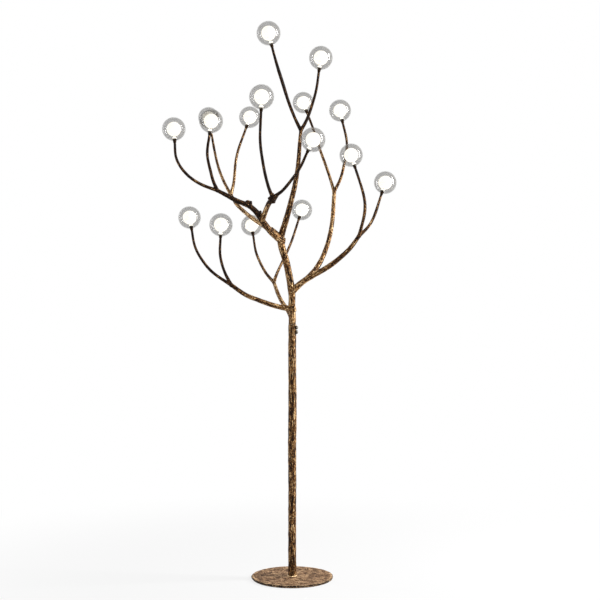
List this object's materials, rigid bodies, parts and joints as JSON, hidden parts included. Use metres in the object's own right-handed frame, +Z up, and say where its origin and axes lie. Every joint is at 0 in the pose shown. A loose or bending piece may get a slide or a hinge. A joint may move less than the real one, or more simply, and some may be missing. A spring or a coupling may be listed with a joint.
{
  "type": "tree floor lamp",
  "caption": "Floor lamp shaped like a bare tree: round foot, bark-textured trunk and a branching crown whose twigs end in double-walled glass globes.",
  "frame": {"origin": "point on the floor under the trunk axis, at the middle of the base pad's underside", "axes": "+Z up along the trunk, +X to the right and +Y away from the viewer as pictured"},
  "size_m": [0.805, 0.819, 1.894],
  "materials": {
    "bark_brass": "cast bark relief, near-black patina rubbed back to antique gold on the ridges",
    "plate_iron": "mottled tan, brown and grey patina with a dark cut rim",
    "pad_felt": "pressed felt",
    "grommet_rubber": "matt black rubber",
    "fixing_steel": "zinc plated",
    "screw_steel": "blackened, polished head",
    "bush_brass": "turned",
    "collar_brass": "dark patinated turned brass",
    "connector_nylon": "moulded nylon",
    "lead_jacket": "extruded jacket",
    "clear_glass": "clear blown glass",
    "frosted_glass": "frosted white glass, lit warm white",
    "holder_ceramic": "matt two-pin holder",
    "capsule_lens": "moulded translucent capsule"
  },
  "bodies": {
    "root": {"base_plate": "plate_iron", "base_pad": "pad_felt", "cord_grommet": "grommet_rubber", "foot_nipple": "fixing_steel", "foot_washer": "fixing_steel", "foot_nut": "fixing_steel", "foot_plug": "fixing_steel", "trunk_tube": "fixing_steel", "trunk_bark": "bark_brass", "trunk_bush": "bush_brass", "trunk_cable": "lead_jacket", "lead_connectors": "connector_nylon", "lock_screws": "screw_steel"},
    "crown": {"crown_spigot": "bush_brass", "crown_stem": "bark_brass", "limb_a": "bark_brass", "limb_b": "bark_brass", "limb_c": "bark_brass", "limb_d": "bark_brass", "limb_e": "bark_brass", "limb_f": "bark_brass", "limb_g": "bark_brass", "limb_h": "bark_brass", "twig_01": "bark_brass", "twig_02": "bark_brass", "twig_03": "bark_brass", "twig_04": "bark_brass", "twig_05": "bark_brass", "twig_06": "bark_brass", "twig_07": "bark_brass", "twig_08": "bark_brass", "twig_09": "bark_brass", "twig_10": "bark_brass", "twig_11": "bark_brass", "twig_12": "bark_brass", "twig_13": "bark_brass", "twig_14": "bark_brass", "twig_15": "bark_brass", "twig_16": "bark_brass", "crown_leads": "lead_jacket", "outer_globe_01": "clear_glass", "outer_globe_02": "clear_glass", "outer_globe_03": "clear_glass", "outer_globe_04": "clear_glass", "outer_globe_05": "clear_glass", "outer_globe_06": "clear_glass", "outer_globe_07": "clear_glass", "outer_globe_08": "clear_glass", "outer_globe_09": "clear_glass", "outer_globe_10": "clear_glass", "outer_globe_11": "clear_glass", "outer_globe_12": "clear_glass", "outer_globe_13": "clear_glass", "outer_globe_14": "clear_glass", "outer_globe_15": "clear_glass", "outer_globe_16": "clear_glass", "inner_diffusers": "frosted_glass", "lamp_collars": "collar_brass", "lamp_holders": "holder_ceramic", "lamp_capsules": "capsule_lens"}
  },
  "joints": [
    {"name": "crown_turn", "type": "hinge", "parent": "root", "child": "crown", "pos_m": [0, 0, 0.887], "axis": [0, 0, 1], "range_deg": [-170, 170]}
  ]
}
